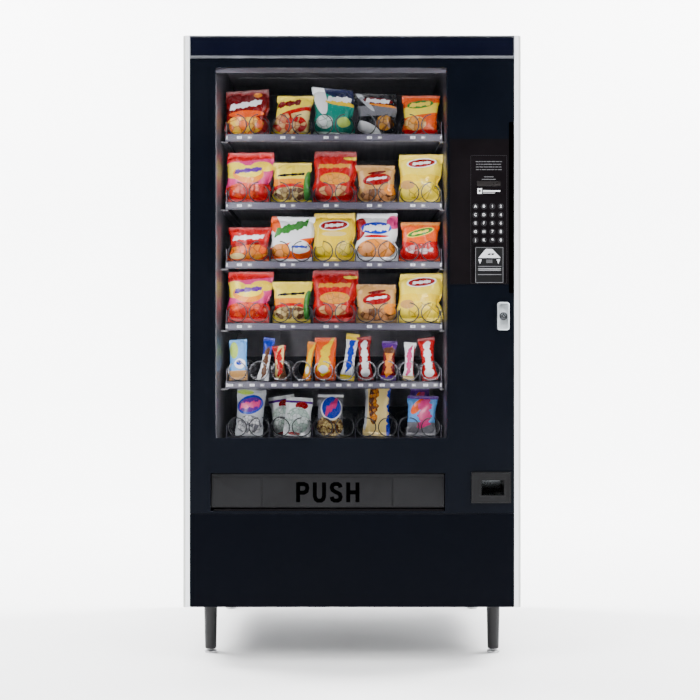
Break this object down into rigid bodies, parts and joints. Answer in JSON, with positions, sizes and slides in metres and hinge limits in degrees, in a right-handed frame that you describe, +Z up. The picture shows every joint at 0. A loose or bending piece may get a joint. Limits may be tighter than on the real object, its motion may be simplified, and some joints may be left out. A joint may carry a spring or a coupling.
{
  "type": "snack vending machine",
  "caption": "Glass-front snack vending machine with a hinged door, push delivery flap, keypad, pull-out trays and turning spiral coils on tapered legs.",
  "frame": {"origin": "on the floor, at the centre of the overall box", "axes": "+Z up, the door's front faces -Y, +X to the right of someone facing the machine"},
  "size_m": [0.984, 0.889, 1.829],
  "materials": {
    "cabinet_paint": "textured powder coat",
    "door_paint": "satin",
    "header_navy": "satin",
    "trim_silver": "satin",
    "trim_white": "satin",
    "glass": "clear",
    "panel_black": "matte",
    "flap_charcoal": "matte, fine grain",
    "key_rubber": "matte",
    "steel": "brushed",
    "tray_steel": "satin",
    "spiral_black": "gloss black",
    "leg_black": "satin",
    "plastic_black": "satin",
    "packet_film": "printed film",
    "label_card": "printed card"
  },
  "bodies": {
    "cabinet": {"cabinet_shell": "cabinet_paint", "liner_wall_left": "steel", "liner_wall_right": "steel", "hinge_plate_upper": "steel", "hinge_plate_lower": "steel", "power_inlet": "plastic_black", "leg_front_left": "leg_black", "leg_front_right": "leg_black", "leg_rear_left": "leg_black", "leg_rear_right": "leg_black"},
    "door": {"door_frame": "door_paint", "header_panel": "header_navy", "header_trim": "trim_silver", "side_trim_left": "trim_white", "side_trim_right": "trim_white", "window_frame": "door_paint", "window_glass": "glass", "kick_panel": "header_navy", "control_panel": "panel_black", "bill_acceptor": "plastic_black", "coin_return_cup": "plastic_black", "delivery_bin": "panel_black"},
    "delivery_flap": {"delivery_flap": "flap_charcoal"},
    "anti_theft_baffle": {"anti_theft_baffle": "tray_steel"},
    "lock_stem": {"lock_stem": "steel"},
    "t_handle": {"t_handle": "trim_silver"},
    "lock_cylinder": {"lock_cylinder": "steel"},
    "tray_1": {"tray_1": "tray_steel"},
    "tray_2": {"tray_2": "tray_steel"},
    "tray_3": {"tray_3": "tray_steel"},
    "tray_4": {"tray_4": "tray_steel"},
    "tray_5": {"tray_5": "tray_steel"},
    "tray_6": {"tray_6": "tray_steel"},
    "spiral_1_left": {"spiral_1_left": "spiral_black"},
    "spiral_1_right": {"spiral_1_right": "spiral_black"},
    "spiral_candy": {"spiral_candy": "spiral_black"},
    "foot_front_left": {"foot_front_left": "steel"},
    "foot_front_right": {"foot_front_right": "steel"},
    "foot_rear_left": {"foot_rear_left": "steel"},
    "foot_rear_right": {"foot_rear_right": "steel"},
    "key_01": {"key_01": "key_rubber"},
    "key_02": {"key_02": "key_rubber"},
    "key_03": {"key_03": "key_rubber"},
    "key_04": {"key_04": "key_rubber"},
    "key_05": {"key_05": "key_rubber"},
    "key_06": {"key_06": "key_rubber"},
    "key_07": {"key_07": "key_rubber"},
    "key_08": {"key_08": "key_rubber"},
    "key_09": {"key_09": "key_rubber"},
    "key_10": {"key_10": "key_rubber"},
    "key_11": {"key_11": "key_rubber"},
    "key_12": {"key_12": "key_rubber"},
    "key_13": {"key_13": "key_rubber"},
    "key_14": {"key_14": "key_rubber"},
    "key_15": {"key_15": "key_rubber"},
    "key_16": {"key_16": "key_rubber"},
    "key_17": {"key_17": "key_rubber"},
    "key_18": {"key_18": "key_rubber"},
    "key_19": {"key_19": "key_rubber"},
    "key_20": {"key_20": "key_rubber"}
  },
  "joints": [
    {"name": "cabinet_door_hinge", "type": "hinge", "parent": "cabinet", "child": "door", "pos_m": [-0.484, -0.3505, 0.99], "axis": [0, 0, -1], "range_deg": [0, 110]},
    {"name": "delivery_flap_hinge", "type": "hinge", "parent": "door", "child": "delivery_flap", "pos_m": [-0.07055, -0.4195, 0.5455], "axis": [1, 0, 0], "range_deg": [0, 70], "stiffness_Nm_per_rad": 1.2, "springref_deg": -8.59},
    {"name": "delivery_baffle_hinge", "type": "hinge", "parent": "door", "child": "anti_theft_baffle", "pos_m": [-0.06775, -0.212, 0.556], "axis": [-1, 0, 0], "range_deg": [0, 80]},
    {"name": "handle_pull_out", "type": "slide", "parent": "door", "child": "lock_stem", "axis": [0, -1, 0], "range_m": [0, 0.022]},
    {"name": "handle_turn", "type": "hinge", "parent": "lock_stem", "child": "t_handle", "pos_m": [0.44, -0.4385, 1.0075], "axis": [0, -1, 0], "range_deg": [0, 90]},
    {"name": "lock_key_turn", "type": "hinge", "parent": "t_handle", "child": "lock_cylinder", "pos_m": [0.44, -0.4385, 1.0075], "axis": [0, -1, 0], "range_deg": [0, 90]},
    {"name": "spiral_1_left_turn", "type": "hinge", "parent": "tray_1", "child": "spiral_1_left", "pos_m": [-0.3582, -0.1695, 1.6119], "axis": [0, 1, 0], "continuous": true},
    {"name": "spiral_1_right_turn", "type": "hinge", "parent": "tray_1", "child": "spiral_1_right", "pos_m": [-0.291, -0.1695, 1.6119], "axis": [0, 1, 0], "continuous": true},
    {"name": "spiral_candy_turn", "type": "hinge", "parent": "tray_5", "child": "spiral_candy", "pos_m": [-0.3582, -0.1695, 0.8442], "axis": [0, 1, 0], "continuous": true},
    {"name": "tray_1_pull_out", "type": "slide", "parent": "cabinet", "child": "tray_1", "axis": [0, -1, 0], "range_m": [0, 0.13]},
    {"name": "tray_2_pull_out", "type": "slide", "parent": "cabinet", "child": "tray_2", "axis": [0, -1, 0], "range_m": [0, 0.13]},
    {"name": "tray_3_pull_out", "type": "slide", "parent": "cabinet", "child": "tray_3", "axis": [0, -1, 0], "range_m": [0, 0.13]},
    {"name": "tray_4_pull_out", "type": "slide", "parent": "cabinet", "child": "tray_4", "axis": [0, -1, 0], "range_m": [0, 0.13]},
    {"name": "tray_5_pull_out", "type": "slide", "parent": "cabinet", "child": "tray_5", "axis": [0, -1, 0], "range_m": [0, 0.13]},
    {"name": "tray_6_pull_out", "type": "slide", "parent": "cabinet", "child": "tray_6", "axis": [0, -1, 0], "range_m": [0, 0.13]},
    {"name": "turn_foot_front_left", "type": "hinge", "parent": "cabinet", "child": "foot_front_left", "pos_m": [-0.4252, -0.2975, 0], "axis": [0, 0, 1], "continuous": true},
    {"name": "turn_foot_front_right", "type": "hinge", "parent": "cabinet", "child": "foot_front_right", "pos_m": [0.4252, -0.2975, 0], "axis": [0, 0, 1], "continuous": true},
    {"name": "turn_foot_rear_left", "type": "hinge", "parent": "cabinet", "child": "foot_rear_left", "pos_m": [-0.4252, 0.39, 0], "axis": [0, 0, 1], "continuous": true},
    {"name": "turn_foot_rear_right", "type": "hinge", "parent": "cabinet", "child": "foot_rear_right", "pos_m": [0.4252, 0.39, 0], "axis": [0, 0, 1], "continuous": true},
    {"name": "selection_key_01_press", "type": "slide", "parent": "door", "child": "key_01", "axis": [0, 1, 0], "range_m": [0, 0.0015], "stiffness_N_per_m": 300},
    {"name": "selection_key_02_press", "type": "slide", "parent": "door", "child": "key_02", "axis": [0, 1, 0], "range_m": [0, 0.0015], "stiffness_N_per_m": 300},
    {"name": "selection_key_03_press", "type": "slide", "parent": "door", "child": "key_03", "axis": [0, 1, 0], "range_m": [0, 0.0015], "stiffness_N_per_m": 300},
    {"name": "selection_key_04_press", "type": "slide", "parent": "door", "child": "key_04", "axis": [0, 1, 0], "range_m": [0, 0.0015], "stiffness_N_per_m": 300},
    {"name": "selection_key_05_press", "type": "slide", "parent": "door", "child": "key_05", "axis": [0, 1, 0], "range_m": [0, 0.0015], "stiffness_N_per_m": 300},
    {"name": "selection_key_06_press", "type": "slide", "parent": "door", "child": "key_06", "axis": [0, 1, 0], "range_m": [0, 0.0015], "stiffness_N_per_m": 300},
    {"name": "selection_key_07_press", "type": "slide", "parent": "door", "child": "key_07", "axis": [0, 1, 0], "range_m": [0, 0.0015], "stiffness_N_per_m": 300},
    {"name": "selection_key_08_press", "type": "slide", "parent": "door", "child": "key_08", "axis": [0, 1, 0], "range_m": [0, 0.0015], "stiffness_N_per_m": 300},
    {"name": "selection_key_09_press", "type": "slide", "parent": "door", "child": "key_09", "axis": [0, 1, 0], "range_m": [0, 0.0015], "stiffness_N_per_m": 300},
    {"name": "selection_key_10_press", "type": "slide", "parent": "door", "child": "key_10", "axis": [0, 1, 0], "range_m": [0, 0.0015], "stiffness_N_per_m": 300},
    {"name": "selection_key_11_press", "type": "slide", "parent": "door", "child": "key_11", "axis": [0, 1, 0], "range_m": [0, 0.0015], "stiffness_N_per_m": 300},
    {"name": "selection_key_12_press", "type": "slide", "parent": "door", "child": "key_12", "axis": [0, 1, 0], "range_m": [0, 0.0015], "stiffness_N_per_m": 300},
    {"name": "selection_key_13_press", "type": "slide", "parent": "door", "child": "key_13", "axis": [0, 1, 0], "range_m": [0, 0.0015], "stiffness_N_per_m": 300},
    {"name": "selection_key_14_press", "type": "slide", "parent": "door", "child": "key_14", "axis": [0, 1, 0], "range_m": [0, 0.0015], "stiffness_N_per_m": 300},
    {"name": "selection_key_15_press", "type": "slide", "parent": "door", "child": "key_15", "axis": [0, 1, 0], "range_m": [0, 0.0015], "stiffness_N_per_m": 300},
    {"name": "selection_key_16_press", "type": "slide", "parent": "door", "child": "key_16", "axis": [0, 1, 0], "range_m": [0, 0.0015], "stiffness_N_per_m": 300},
    {"name": "selection_key_17_press", "type": "slide", "parent": "door", "child": "key_17", "axis": [0, 1, 0], "range_m": [0, 0.0015], "stiffness_N_per_m": 300},
    {"name": "selection_key_18_press", "type": "slide", "parent": "door", "child": "key_18", "axis": [0, 1, 0], "range_m": [0, 0.0015], "stiffness_N_per_m": 300},
    {"name": "selection_key_19_press", "type": "slide", "parent": "door", "child": "key_19", "axis": [0, 1, 0], "range_m": [0, 0.0015], "stiffness_N_per_m": 300},
    {"name": "selection_key_20_press", "type": "slide", "parent": "door", "child": "key_20", "axis": [0, 1, 0], "range_m": [0, 0.0015], "stiffness_N_per_m": 300}
  ],
  "couplings": [
    {"joint": "delivery_baffle_hinge", "follows": "delivery_flap_hinge", "ratio": 1.14},
    {"joint": "spiral_1_right_turn", "follows": "spiral_1_left_turn", "ratio": -1}
  ]
}
